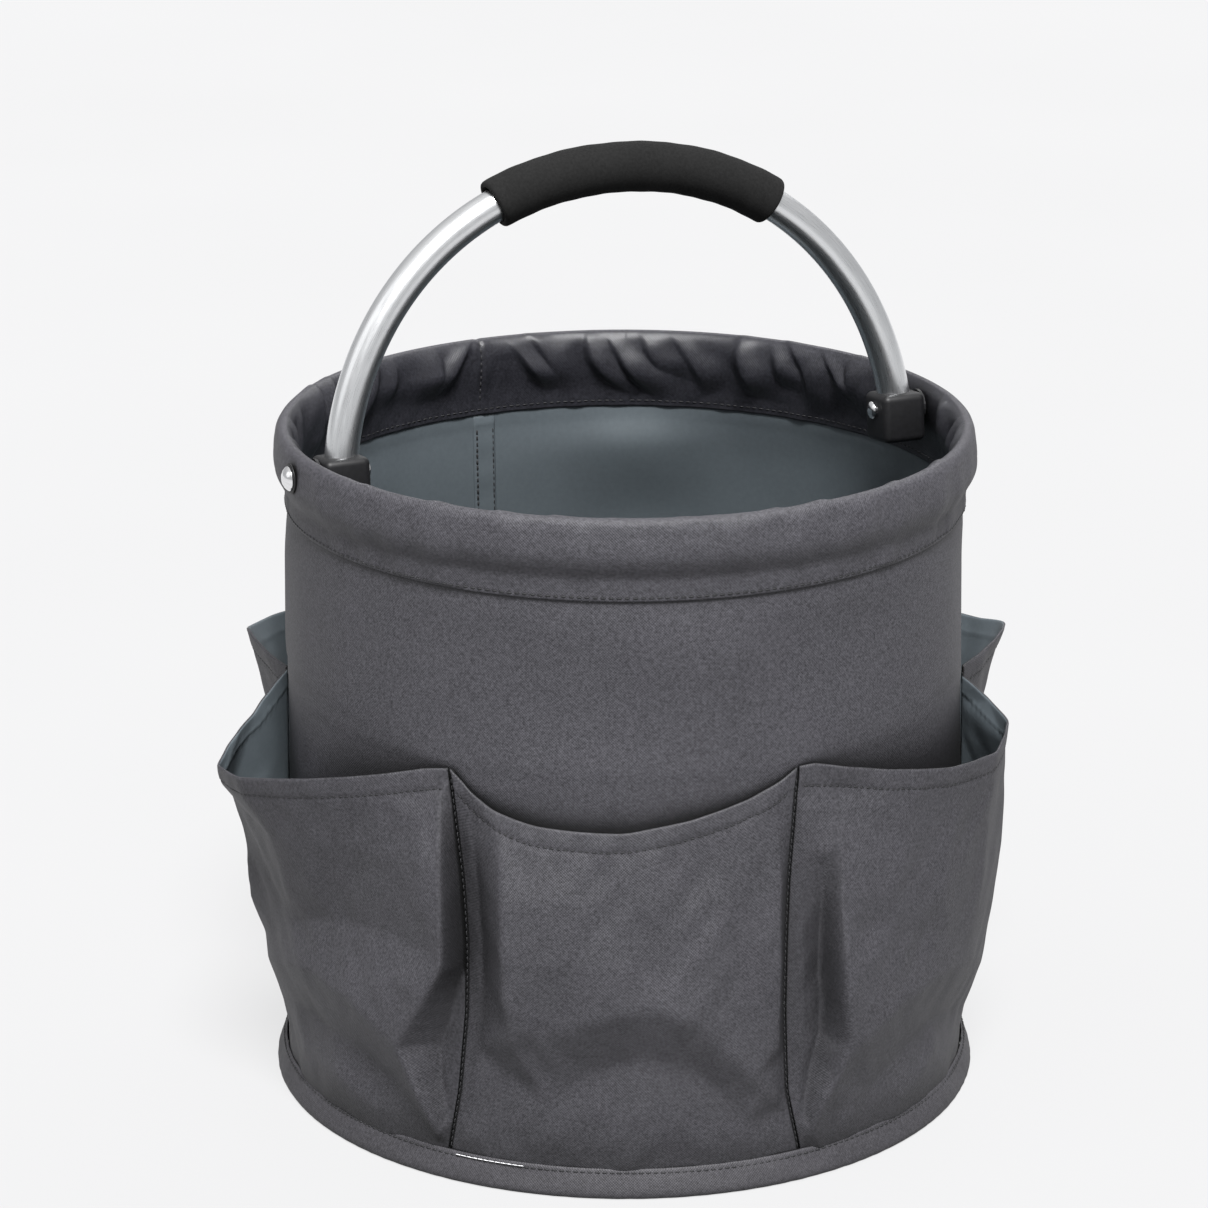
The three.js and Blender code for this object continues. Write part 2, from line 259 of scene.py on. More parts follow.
def cloth_material(name, dark, light, pitch=0.0013, rough=0.6, weave=0.5, mottle=0.22,
                   specular=0.36, fold_shade_power=2.3):
    """Plain weave: threads over and under, mottled dye, a faint slubby grain, and painted shade: ambient
    occlusion darkens the colour in creases and hollows.
    """
    m, nodes, links, bsdf = new_material(name, rough)
    bsdf.inputs["Specular IOR Level"].default_value = specular
    uv = nodes.new("ShaderNodeUVMap")
    uv.uv_map = "UVMap"
    obj = nodes.new("ShaderNodeTexCoord")
    split = nodes.new("ShaderNodeSeparateXYZ")
    links.new(uv.outputs["UV"], split.inputs[0])
    turn = 2 * math.pi / pitch
    sx = math_node(nodes, links, "SINE", math_node(nodes, links, "MULTIPLY", split.outputs[0], turn))
    sy = math_node(nodes, links, "SINE", math_node(nodes, links, "MULTIPLY", split.outputs[1], turn))
    check = math_node(nodes, links, "MULTIPLY", sx, sy)
    grain = noise(nodes, links, obj.outputs["Object"], 800.0, 2.0, 0.6)
    slub = noise(nodes, links, obj.outputs["Object"], 160.0, 4.0, 0.6)
    cloud = noise(nodes, links, obj.outputs["Object"], 14.0, 3.0, 0.55)
    w = math_node(nodes, links, "MULTIPLY", check, 0.16)
    g = math_node(nodes, links, "MULTIPLY", math_node(nodes, links, "SUBTRACT", grain, 0.5), 1.9)
    s = math_node(nodes, links, "MULTIPLY", math_node(nodes, links, "SUBTRACT", slub, 0.5), 0.3)
    c = math_node(nodes, links, "MULTIPLY", math_node(nodes, links, "SUBTRACT", cloud, 0.5), mottle)
    fac = math_node(nodes, links, "ADD", math_node(nodes, links, "ADD", w, g),
                    math_node(nodes, links, "ADD", s, c))
    fac = math_node(nodes, links, "ADD", fac, 0.5)
    dye = ramp(nodes, links, fac, [(0.0, dark), (1.0, light)])
    # Painted shade: ambient occlusion, raised to a power, multiplies the base colour, so creases and hollows
    # come out darker than the lamps alone make them.
    fold_shade_ao = nodes.new("ShaderNodeAmbientOcclusion")
    fold_shade_ao.samples = 8
    fold_shade_ao.inputs["Distance"].default_value = 0.035
    painted_fold_shade = math_node(nodes, links, "POWER", fold_shade_ao.outputs["AO"], fold_shade_power)
    mix = nodes.new("ShaderNodeMix")
    mix.data_type = "RGBA"
    mix.blend_type = "MULTIPLY"
    mix.inputs["Factor"].default_value = 1.0
    links.new(dye, mix.inputs["A"])
    links.new(painted_fold_shade, mix.inputs["B"])
    links.new(mix.outputs["Result"], bsdf.inputs["Base Color"])
    height = math_node(nodes, links, "ADD", math_node(nodes, links, "MULTIPLY", check, 0.6),
                       math_node(nodes, links, "MULTIPLY", grain, 1.2))
    b = nodes.new("ShaderNodeBump")
    b.inputs["Strength"].default_value = weave
    b.inputs["Distance"].default_value = 0.0002
    links.new(height, b.inputs["Height"])
    links.new(b.outputs["Normal"], bsdf.inputs["Normal"])
    return m


def coating_material():
    """The smooth coated reverse of the cloth."""
    m, nodes, links, bsdf = new_material("coated_lining", 0.66)
    bsdf.inputs["Specular IOR Level"].default_value = 0.4
    obj = nodes.new("ShaderNodeTexCoord")
    cloud = noise(nodes, links, obj.outputs["Object"], 9.0, 3.0, 0.5)
    fine = noise(nodes, links, obj.outputs["Object"], 420.0, 2.0, 0.5)
    fac = math_node(nodes, links, "ADD", math_node(nodes, links, "MULTIPLY", cloud, 0.8),
                    math_node(nodes, links, "MULTIPLY", fine, 0.25))
    col = ramp(nodes, links, fac, [(0.25, (0.047, 0.057, 0.065)), (0.8, (0.084, 0.101, 0.112))])
    links.new(col, bsdf.inputs["Base Color"])
    b = nodes.new("ShaderNodeBump")
    b.inputs["Strength"].default_value = 0.12
    b.inputs["Distance"].default_value = 0.0002
    links.new(fine, b.inputs["Height"])
    links.new(b.outputs["Normal"], bsdf.inputs["Normal"])
    return m


def grained_material(name, dark, light, scale, rough, strength, specular=0.5, distance=0.0002):
    """Moulded plastic or foam: fine grain in colour and bump."""
    m, nodes, links, bsdf = new_material(name, rough)
    bsdf.inputs["Specular IOR Level"].default_value = specular
    obj = nodes.new("ShaderNodeTexCoord")
    fine = noise(nodes, links, obj.outputs["Object"], scale, 3.0, 0.6)
    cloud = noise(nodes, links, obj.outputs["Object"], 40.0, 2.0, 0.5)
    fac = math_node(nodes, links, "ADD", math_node(nodes, links, "MULTIPLY", fine, 0.7),
                    math_node(nodes, links, "MULTIPLY", cloud, 0.3))
    links.new(ramp(nodes, links, fac, [(0.3, dark), (0.7, light)]), bsdf.inputs["Base Color"])
    b = nodes.new("ShaderNodeBump")
    b.inputs["Strength"].default_value = strength
    b.inputs["Distance"].default_value = distance
    links.new(fine, b.inputs["Height"])
    links.new(b.outputs["Normal"], bsdf.inputs["Normal"])
    return m


def metal_material(name, dark, light, rough_lo, rough_hi, streak=(400.0, 12.0), strength=0.05):
    """Metal with drawn streaks along the UV's second axis and slightly uneven gloss."""
    m, nodes, links, bsdf = new_material(name, 0.3, 1.0)
    uv = nodes.new("ShaderNodeUVMap")
    uv.uv_map = "UVMap"
    stretch = nodes.new("ShaderNodeMapping")
    stretch.inputs["Scale"].default_value = (streak[0], streak[1], 1.0)
    links.new(uv.outputs["UV"], stretch.inputs["Vector"])
    lines = noise(nodes, links, stretch.outputs["Vector"], 6.0, 4.0, 0.6)
    links.new(ramp(nodes, links, lines, [(0.3, dark), (0.7, light)]), bsdf.inputs["Base Color"])
    spread = nodes.new("ShaderNodeMapRange")
    spread.inputs["To Min"].default_value = rough_lo
    spread.inputs["To Max"].default_value = rough_hi
    links.new(lines, spread.inputs["Value"])
    links.new(spread.outputs["Result"], bsdf.inputs["Roughness"])
    b = nodes.new("ShaderNodeBump")
    b.inputs["Strength"].default_value = strength
    b.inputs["Distance"].default_value = 0.0001
    links.new(lines, b.inputs["Height"])
    links.new(b.outputs["Normal"], bsdf.inputs["Normal"])
    return m


CLOTH = cloth_material("cloth", (0.0125, 0.012, 0.015), (0.056, 0.0545, 0.063))
# Painted shade: the pockets' cloth is a darker copy of the wall cloth, about 0.85 times as bright, so that
# the bulging pockets, which the key lamp lights more than the wall, come out no brighter than the wall.
POCKET_PAINTED_SHADE = cloth_material("pocket_cloth_painted_shade", (0.0105, 0.0101, 0.0126), (0.0475, 0.0462, 0.0533))
BAND = cloth_material("rim_lining_cloth", (0.006, 0.006, 0.008), (0.024, 0.024, 0.030),
                      rough=0.42, weave=0.3, fold_shade_power=1.2)
BINDING = cloth_material("binding", (0.017, 0.016, 0.019), (0.052, 0.050, 0.057), fold_shade_power=1.0)
COATING = coating_material()
THREAD = grained_material("thread", (0.004, 0.004, 0.005), (0.012, 0.012, 0.014), 900.0, 0.7, 0.4)
PALE_MARK = grained_material("pale_mark_colour", (0.45, 0.45, 0.46), (0.75, 0.75, 0.76), 900.0, 0.7, 0.4)
PLASTIC = grained_material("black_plastic", (0.003, 0.003, 0.0035), (0.007, 0.007, 0.008),
                           500.0, 0.5, 0.1, 0.3)
FOAM = grained_material("foam", (0.004, 0.004, 0.004), (0.010, 0.010, 0.010), 750.0, 0.9, 0.6, 0.15)
TUBE = metal_material("satin_aluminium", (0.66, 0.67, 0.68), (0.80, 0.81, 0.82), 0.22, 0.36)
RIVET = metal_material("polished_rivet", (0.72, 0.72, 0.73), (0.86, 0.86, 0.87), 0.10, 0.24)


# ---------- sewing ----------
def thread_line(name, line, normals, body, pitch=3.3, length=2.5, width=0.5, height=0.28,
                material=None, skip=0.0, seed=1):
    """A row of stitches on a line of points, each a small arched bar that dips into the cloth."""
    rng = np.random.default_rng(seed)
    step = np.linalg.norm(np.diff(line, axis=0), axis=1)
    s = np.concatenate([[0], np.cumsum(step)])
    count = int((s[-1] - 1.0) / pitch)
    verts, faces = [], []
    for k in range(count):
        if rng.random() < skip:
            continue
        mid = 0.5 + (k + 0.5) * pitch + rng.uniform(-0.12, 0.12)
        at = mid + np.array([-0.5, -0.3, 0.3, 0.5]) * length * rng.uniform(0.92, 1.05)
        p = np.stack([np.interp(at, s, line[:, c]) for c in range(3)], -1)
        n = unit(np.stack([np.interp(at, s, normals[:, c]) for c in range(3)], -1))
        t = unit(np.gradient(p, axis=0))
        side = unit(np.cross(t, n))
        lift = np.array([-0.25, height, height, -0.25])
        half = np.array([0.3, 0.5, 0.5, 0.3]) * width
        first = len(verts)
        for a in range(4):
            top = p[a] + n[a] * lift[a]
            for sx, dz in ((-1, -0.35), (-0.7, 0), (0.7, 0), (1, -0.35)):
                verts.append(top + side[a] * half[a] * sx + n[a] * dz)
        for a in range(3):
            q = first + 4 * a
            for c in range(4):
                faces.append((q + c, q + (c + 1) % 4, q + 4 + (c + 1) % 4, q + 4 + c))
        faces.append((first + 3, first + 2, first + 1, first))
        q = first + 12
        faces.append((q, q + 1, q + 2, q + 3))
    obj = mesh_object(name, verts, faces, [material or THREAD])
    clean(obj)
    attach(obj, body)
    return obj


def collapse(piece):
    """The wall and what is sewn to it flatten as the rim comes down; here the piece only gets its own copy of
    its mesh, and nothing moves.
    """
    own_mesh(piece)


# ---------- body wall ----------
def wall_dent(az, z):
    """Soft dents of the hanging wall, mm outward."""
    calm = smooth_step(z, 8, 40) * (1 - smooth_step(z, 262, 289))
    low = waves(az, z, 11, 7, (2, 9), (0.004, 0.018))
    fine = waves(az, z, 12, 9, (9, 30), (0.01, 0.05))
    d = (0.55 + 0.7 * smooth_step(z, 205, 225)) * low + 0.16 * fine
    d = d - 1.6 * bump(az, -8, 16) * bump(z, 238, 26) + 1.0 * bump(az, 14, 10) * bump(z, 262, 20)
    d = d - 1.1 * bump(az, 33, 12) * bump(z, 246, 34)
    d = np.clip(d, -2.4, 1.2) * calm
    high = smooth_step(z, 226, 268) * (1 - smooth_step(z, 268, 289))
    return d - 4.4 * bump((az - 177 + 180) % 360 - 180, 0, 11) * high - 0.4 * smooth_step(z, 281, 286)


def hold_in(dent, z):
    """Behind the pockets the wall hardly bulges."""
    return np.minimum(dent, 0.2 + 10 * (z > 215))


def behind_pockets(z):
    """The small set-back of the wall behind the pockets, mm."""
    return 0.35 * (z < 205)


az = np.linspace(-180, 180, 300, endpoint=False)[:, None]
zz = np.concatenate([np.linspace(1.6, 288, 109), [289.5, WALL_TOP_Z]])[None, :]
dent = wall_dent(az, zz) - behind_pockets(zz)
outer = polar(az, wall_out(zz) + hold_in(dent, zz), zz)
inner = polar(az, wall_out(zz) + hold_in(dent, zz) - WALL_T, zz)
wall = shell("bucket_wall", outer, inner, True, [CLOTH, COATING])
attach(wall, "bucket")
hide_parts("body_wall")
collapse(wall)


# ---------- pockets ----------
# Divider lines: azimuth of each seam at six heights, from the foot up. The two front rows were
# computed by another program; they are not worked out from the dimensions above.
DIVIDER_Z = [12, 45, 85, 120, 150, 204]
DIVIDERS = {
    "front_left": [-29.2, -27.2, -25.9, -25.8, -26.5, -29.0],
    "front_right": [29.4, 26.9, 26.4, 26.6, 27.0, 28.6],
    "right": [90.2, 90.6, 91.0, 90.9, 90.6, 90.2],
    "back_right": [150.0, 149.4, 149.0, 149.2, 149.6, 150.2],
    "back_left": [-150.0, -149.6, -149.0, -149.0, -149.4, -150.0],
    "left": [-90.2, -91.0, -91.2, -91.0, -90.8, -90.4],
}


def soften(p, passes):
    for _ in range(passes):
        mid = p.copy()
        mid[1:-1, 1:-1] = 0.5 * p[1:-1, 1:-1] + 0.125 * (
            p[2:, 1:-1] + p[:-2, 1:-1] + p[1:-1, 2:] + p[1:-1, :-2])
        mid[1:-1, -1] = 0.5 * p[1:-1, -1] + 0.25 * (p[2:, -1] + p[:-2, -1])
        p = mid
    return p


def folded(left, right, mouth, folds, s, t, turn=0.0):
    """Folded cloth between two divider seams: flat facets between the given lines. mouth is the top
    edge from left to right and folds the ridges, corners and valleys below it, each a line of
    (azimuth, stand-off, height) points."""
    a0 = lambda z: np.interp(z, DIVIDER_Z, DIVIDERS[left]) + 0.35
    a1 = lambda z: np.interp(z, DIVIDER_Z, DIVIDERS[right]) + turn - 0.35
    mouth = np.asarray(mouth, float)
    ms = (mouth[:, 0] - mouth[0, 0]) / (mouth[-1, 0] - mouth[0, 0])
    top = lambda q: np.interp(q, ms, mouth[:, 2])
    rows, joins = [], []

    def add(line):
        first = len(rows)
        rows.extend(line)
        joins.extend((first + k, first + k + 1) for k in range(len(line) - 1))

    qs = np.unique(np.concatenate([ms, np.linspace(0, 1, 25)]))
    add([(q, 1.0, *[np.interp(q, ms, mouth[:, k]) for k in range(3)]) for q in qs])
    for q, edge in ((0.0, a0), (1.0, a1)):
        zs = np.arange(9, top(q) - 5, 7)
        rows.extend([(q, (z - 2) / (top(q) - 2), edge(z), 0.0, z) for z in zs])
    rows.extend([(q, 0.0, a0(2) + q * (a1(2) - a0(2)), 0.0, POCKET_FOOT_Z) for q in np.linspace(0, 1, 25)])
    for fold in folds:
        line = np.asarray(fold, float).reshape(-1, 3)
        if len(line) > 1:
            steps = [max(1, int(np.hypot(*((b - a)[[0, 2]] * (2.9, 1.0))) / 7.0))
                     for a, b in zip(line, line[1:])]
            line = np.vstack([np.linspace(a, b, k, endpoint=False)
                              for a, b, k in zip(line, line[1:], steps)] + [line[-1:]])
        q = (line[:, 0] - a0(line[:, 2])) / (a1(line[:, 2]) - a0(line[:, 2]))
        add([(u, (z - 2) / (top(u) - 2), a, out, z) for u, (a, out, z) in zip(q, line)])
    pts = np.asarray(rows, float)
    xyz = polar(pts[:, 2], wall_out(pts[:, 4]) + 0.85 + pts[:, 3], pts[:, 4])
    flat = pts[:, :2] * (abs(mouth[-1, 0] - mouth[0, 0]) * 2.9, 200.0)
    verts, _, faces, origin, _, _ = delaunay_2d_cdt([Vector(p) for p in flat], joins, [], 0, 1e-4)
    place = []
    for v, src in zip(verts, origin):
        if src:
            place.append((pts[src[0], :2], xyz[src[0]]))
        else:
            gap = np.hypot(*(flat - np.array(v)).T)
            near = np.argsort(gap)[:2]
            w = 1 / (gap[near] + 1e-6)
            place.append((np.array(v) / flat.max(0), (xyz[near] * w[:, None]).sum(0) / w.sum()))
    ss, tt = np.meshgrid(s, t, indexing="ij")
    out = np.full(ss.shape + (3,), np.nan)
    for f in faces:
        (a, pa), (b, pb), (c, pc) = (place[k] for k in f)
        area = (b[0] - a[0]) * (c[1] - a[1]) - (c[0] - a[0]) * (b[1] - a[1])
        if abs(area) < 1e-12:
            continue
        wb = ((ss - a[0]) * (c[1] - a[1]) - (c[0] - a[0]) * (tt - a[1])) / area
        wc = ((b[0] - a[0]) * (tt - a[1]) - (ss - a[0]) * (b[1] - a[1])) / area
        wa = 1 - wb - wc
        hit = (wa > -1e-5) & (wb > -1e-5) & (wc > -1e-5)
        value = wa[..., None] * pa + wb[..., None] * pb + wc[..., None] * pc
        out[hit] = value[hit]
    return out


def clamp_to_wall(p, gap=0.5):
    a, r, z = to_polar(p)
    low = wall_out(z) + gap
    soft = low + np.log1p(np.exp(np.clip((r - low) / 0.35, -40, 40))) * 0.35
    return polar(a, np.where(r - low > 3, r, soft), z)


def make_pocket(key, left, right, mouth, folds, seed, passes=6, nu=150, nv=112, turn=0.0):
    x = np.linspace(0, 1, nu)
    s = x - 0.11 * np.sin(2 * np.pi * x) / (2 * np.pi) * 4.5
    hem = 0.046
    t = np.concatenate([np.linspace(0, 1 - hem - 0.006, nv - 10), 1 - hem + np.linspace(-0.003, hem, 10)])
    base = soften(folded(left, right, mouth, folds, s, t, turn), passes)
    a, r, z = to_polar(base)
    if turn:
        a = a % 360
    ss, tt = np.meshgrid(s, t, indexing="ij")
    edge = smooth_step(ss, 0, 0.05) * (1 - smooth_step(ss, 0.95, 1)) * smooth_step(tt, 0.02, 0.12)
    small = (0.42 * waves(a, z, seed, 8, (8, 34), (0.03, 0.12))
             + 0.16 * waves(a, z, seed + 40, 8, (30, 80), (0.1, 0.3)))
    drift = waves(a, z, seed + 9, 4, (9, 20), (0, 0.01))
    pucker = (0.20 * np.sin(ss * 300 + 2 * drift) - 0.28) * bump(tt, 1 - hem, 0.010)
    r = r + edge * (small + pucker)
    base = clamp_to_wall(polar(a, r, z))
    n = grid_normals(base, False)
    half = np.full(ss.shape, POCKET_HALF_T)
    half += POCKET_HALF_T * (tt > 1 - hem) * (1 - 0.6 * smooth_step(tt, 0.994, 1.0))
    outer, inner = base + n * half[..., None], base - n * half[..., None]
    ia, ir, iz = to_polar(inner)
    inner = polar(ia, np.maximum(ir, wall_out(iz) + 0.15), iz)
    obj = shell(f"cloth_{key}", outer, inner, False, [POCKET_PAINTED_SHADE, COATING])
    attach(obj, "bucket")
    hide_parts(key)
    collapse(obj)
    row = int(np.argmin(np.abs(t - (1 - hem - 0.004))))
    line = base[3:-3, row] + n[3:-3, row] * 0.36
    stitches = thread_line(f"hem_stitch_{key}", line, n[3:-3, row], "bucket", seed=seed)
    collapse(stitches)


# Most azimuths and heights of the fold points of the three front pockets were computed by another
# program; they are not worked out from the dimensions above.
make_pocket("pocket_front", "front_left", "front_right", [
    (-28.8, 0.2, 203.5), (-25.2, 1.0, 194.5), (-20.3, 4.0, 187.4), (-14.2, 4.6, 183.4), (-5.5, 4.6, 181.6),
    (0.6, 4.6, 181.6), (10.5, 4.2, 187.0), (19.6, 2.4, 193.6), (25.8, 0.8, 200.2), (28.4, 0.2, 204.5)], [
    # the bulge's left edge, running into an arched sag; and the line the sag falls back to
    [(-19.6, 6.5, 178), (-18.7, 11, 166), (-18.0, 16, 148), (-17.8, 18.5, 125), (-17.4, 17.5, 100),
     (-17.0, 13.5, 83),
     (-12.5, 13.5, 82), (-6.5, 14.5, 92), (0.9, 15.2, 98), (6, 15, 98), (11.2, 14.5, 90),
     (17.5, 12, 66), (22, 8, 51)],
    [(-19.5, 1.6, 30), (-15, 2.5, 40), (-10, 3, 53), (-5.3, 3, 64), (0.1, 3, 68), (5.6, 3, 69),
     (11.9, 3, 60),
     (15.9, 3, 48), (19.4, 2.2, 33)],
    # the slope between the bulge and the seam
    [(-24.6, 0.8, 176), (-23.4, 1.6, 150), (-22.6, 2.2, 120), (-22.6, 2.2, 94), (-23.4, 1.8, 70),
     (-24.6, 1.4, 48)],
    # the middle, almost flat, and its easy slope to the right seam
    [(-12, 14, 150), (2.4, 9.5, 150), (14.7, 8, 148)],
    [(-12, 16.5, 122), (2.4, 12.5, 118), (14.4, 11, 115)],
    [(24.6, 3.0, 182), (24.6, 6.0, 146), (24.6, 7.5, 110), (24.4, 7.0, 72)],
    # slack above the base
    [(-5, 4.4, 42), (6, 4.6, 42)], [(0, 2.4, 20)], [(-14, 1.2, 18)], [(14, 1.4, 18)]], seed=21, passes=8)

make_pocket("pocket_front_left", "left", "front_left", [
    (-90, 0.3, 201), (-83, 17, 185), (-73.0, 38.4, 173.0), (-63.0, 38.2, 179.4), (-49, 20, 190.0),
    (-33.4, 2.6, 201.8),
    (-29.3, 0.2, 203.5)], [
    # just below the hem
    [(-73.4, 36, 164), (-63.2, 36, 170), (-50.0, 21, 180), (-38.7, 9.5, 186), (-32.4, 4, 190)],
    # the panel that leans in towards the wall
    [(-86.6, 8, 160), (-86.4, 6, 110), (-86.4, 4, 70)],
    [(-79.5, 28, 150), (-79.5, 23.5, 135), (-80, 21, 119), (-79, 19.5, 96)],
    [(-60.5, 27.0, 151), (-53.0, 20.0, 152), (-45.4, 13.5, 160)], [(-47.0, 9.8, 140)],
    [(-38.4, 10, 160), (-38.6, 9, 136)],
    # the folded edge beside the seam, its upper corner, the lower corner and the line to the foot
    [(-30.0, 4.5, 189), (-28.8, 10.5, 167), (-28.0, 14.5, 142), (-27.6, 17.0, 111), (-31.5, 17.2, 89),
     (-35.5, 17.4, 67), (-32.6, 12.5, 42), (-30.6, 5.0, 22)],
    [(-32.6, 8, 179), (-31.7, 12.5, 160), (-31.4, 13.2, 137), (-31.2, 12.4, 122)],
    # the hollow line that runs from the upper corner to the side, and the rounded ridge below it
    [(-28.6, 15.8, 113), (-31.2, 12.0, 117), (-38.4, 8.4, 117), (-48.4, 6.5, 116), (-57.0, 10.5, 110),
     (-67, 12, 96),
     (-78, 12.6, 78)],
    [(-78, 11.4, 64), (-67.5, 12.6, 76), (-56.7, 13.8, 85), (-46, 14.6, 82), (-40.5, 15.8, 75),
     (-36.4, 16.8, 68)],
    [(-31.8, 16.4, 102), (-37.7, 14.6, 98)],
    # the valley under the ridge
    [(-79, 3.4, 40), (-70, 3.2, 50), (-61.0, 3.2, 56), (-48.6, 3.4, 51), (-40.0, 3.0, 43), (-35.0, 3.2, 30),
     (-31.8, 1.4, 18)],
    # the narrow facets between the lower corner and the seam
    [(-27.0, 0.8, 100), (-28.4, 0.6, 84), (-30.8, 0.6, 66), (-30.6, 0.6, 48), (-29.4, 0.5, 32)],
    # slack above the base
    [(-64, 4.8, 36), (-50, 6.4, 34), (-43, 5.0, 24)], [(-56.2, 2.6, 17)], [(-76, 1.0, 24)]],
    seed=22, passes=2)

make_pocket("pocket_front_right", "front_right", "right", [
    (28.9, 0.2, 205), (31.6, 1.4, 205.4), (44, 10.5, 196.5), (57.2, 18.6, 187.8), (67.2, 24.6, 185.2),
    (78.2, 23.4, 188.6), (84.2, 14.2, 191.4), (90, 0.3, 198)], [
    [(44.0, 11.8, 184), (57.0, 18.6, 177), (67.2, 24.0, 175), (78.4, 22.0, 177)],
    # flat strip beside the seam, hollow, and the ridge with its lower corner
    [(29.1, 1.6, 184), (29.3, 1.6, 130), (29.7, 1.6, 100), (29.7, 1.4, 74)],
    [(28.9, 0.6, 50), (29.1, 0.5, 28)],
    [(33.0, 3.6, 154), (33.0, 1.6, 130), (33.0, 0.5, 108), (33.2, 0.4, 88), (33.0, 0.6, 73),
     (31.8, 0.6, 60), (30.7, 0.5, 46),
     (30.0, 0.4, 33)],
    [(36, 3.5, 190), (35.1, 6.5, 172), (34.8, 10, 153), (34.5, 14.2, 130), (34.2, 17.2, 111),
     (34.5, 18.0, 89),
     (35.4, 16.6, 67), (34.0, 12.0, 52), (32.4, 9.0, 40), (31.0, 4.0, 24)],
    # the broad panel and its soft creases
    [(40.7, 9.5, 169), (39.9, 12.8, 140), (38.6, 12.4, 124)], [(38.4, 16.6, 106)],
    [(50, 14.6, 176), (45.7, 14.2, 150), (44.6, 14.2, 131), (45.0, 14.8, 108)], [(54.5, 17.6, 130)],
    [(57, 16, 104)],
    [(79.5, 21, 160), (79.5, 20.6, 140), (79.5, 20.4, 124), (79, 17.6, 100), (79, 14.6, 80)],
    [(67.5, 22, 142), (67, 18.6, 110)], [(86.4, 8, 150), (86.4, 6, 100), (86.4, 4, 66)],
    # a sagging fold across the panel: upper line and the line it falls back to
    [(79, 11.4, 61), (69.5, 13.5, 74), (56.2, 15.2, 85), (45.9, 16.0, 80), (38.2, 16.8, 69)],
    [(79, 3.0, 38), (70, 3.2, 48), (58.6, 3.4, 54), (51.1, 3.4, 48), (43.0, 3.6, 36), (37.5, 3.4, 25)],
    [(60, 4.8, 37), (50.8, 3.8, 24)], [(34.4, 4.4, 30)], [(66, 2.4, 20)], [(77, 0.9, 22)]],
    seed=23, passes=2)


def slack_folds(start, mirror):
    """Ridges and hollows of a gaping back pocket, 60 degrees wide."""
    lines = [[(15, 24, 182), (30, 34, 176), (45, 20, 184)],
             [(10, 9, 150), (21, 20, 148), (35, 21, 146), (50, 10, 150)],
             [(9, 5, 110), (22, 11, 112), (35, 12, 108), (52, 5, 108)],
             [(7, 10, 84), (24, 14, 86), (42, 13, 82), (53, 9, 80)],
             [(9, 4, 60), (20, 4, 58), (36, 3, 60), (50, 4, 52)], [(24, 4.4, 34), (42, 4.2, 32)],
             [(8, 1.5, 30)],
             [(52, 2, 30)]]
    return [[(start + (60 - a if mirror else a), out, z) for a, out, z in line] for line in lines]


make_pocket("pocket_back_right", "right", "back_right", [
    (90.4, 0.3, 203), (104, 30, 207), (112.5, 41, 200), (120, 40, 194), (135, 19, 198), (149.8, 0.3, 203)],
    slack_folds(90, False), seed=24, passes=5, nu=100, nv=84)
make_pocket("pocket_back_left", "back_left", "left", [
    (-149.6, 0.3, 203), (-135, 17, 199), (-120, 40, 195), (-113, 42, 196), (-104, 29, 206),
    (-90.4, 0.3, 202)],
    slack_folds(-150, True), seed=25, passes=5, nu=100, nv=84)
make_pocket("pocket_back", "back_right", "back_left", [
    (150.5, 0.2, 203), (157.5, 2.5, 195), (168, 5.4, 187), (181, 6.2, 184), (193, 5.2, 188.5),
    (204, 2.0, 197),
    (209.6, 0.2, 203)], [
    [(158, 6, 178), (157.2, 10, 150), (156.8, 12, 112), (160, 11, 84), (172, 13, 94), (188, 13, 90),
     (200, 11, 78),
     (203.4, 12, 110), (203, 9, 148), (202.6, 6, 176)],
    [(155.2, 1.2, 150), (154.4, 1.2, 110)], [(205.8, 1.2, 148), (206, 1.2, 110)],
    [(180, 9, 150), (181, 12, 118)],
    [(160, 2, 44), (166, 3, 56), (180, 3.2, 64), (194, 3, 52), (200, 2, 40)],
    [(172, 4.4, 36), (188, 4.2, 32)],
    [(180, 1.6, 16)]], seed=26, passes=7, nu=100, nv=84, turn=360.0)

for i, (key, azs) in enumerate(DIVIDERS.items()):
    zline = np.linspace(14, 201, 200)
    aline = np.interp(zline, DIVIDER_Z, azs)
    k = np.ones(25) / 25
    aline = np.convolve(np.pad(aline, 12, mode="edge"), k, "valid")
    line = polar(aline, wall_out(zline) + 1.25, zline)
    seam = thread_line(f"divider_stitch_{key}", line, polar(aline, 1.0, 0.0 * zline), "bucket",
                       pitch=3.2, length=2.3, width=0.42, height=0.15, seed=50 + i)
    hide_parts(f"divider_seam_{key}")
    collapse(seam)


# ---------- base ----------
az = np.linspace(-180, 180, 360, endpoint=False)[:, None]
skirt = spline([(168.6, 14.2), (169.4, 13.6), (170.4, 11.2), (171.8, 7.6), (173.1, 4.0), (173.5, 1.8),
                (172.9, 0.5), (171.2, 0.05)], 26)
under = spline([(168.45, 13.0), (168.5, 11.0), (168.6, 7.6), (168.7, 4.0), (168.9, 1.8), (169.4, 0.7),
                (170.2, 0.3), (171.2, 0.05)], 26)
soft = 0.28 * waves(az, skirt[None, :, 1], 31, 8, (5, 26), (0, 0.05)) * bump(skirt[None, :, 1], 8, 5)
soft = soft + 0.09 * waves(az, skirt[None, :, 1], 32, 9, (60, 150), (0, 0.2))
outer = polar(az, skirt[None, :, 0] + soft, skirt[None, :, 1])[:, ::-1]
inner = polar(az, under[None, :, 0] + 0 * az, under[None, :, 1])[:, ::-1]
flange = shell("base_binding_tape", outer, inner, True, [BINDING, BINDING])
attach(flange, "bucket")
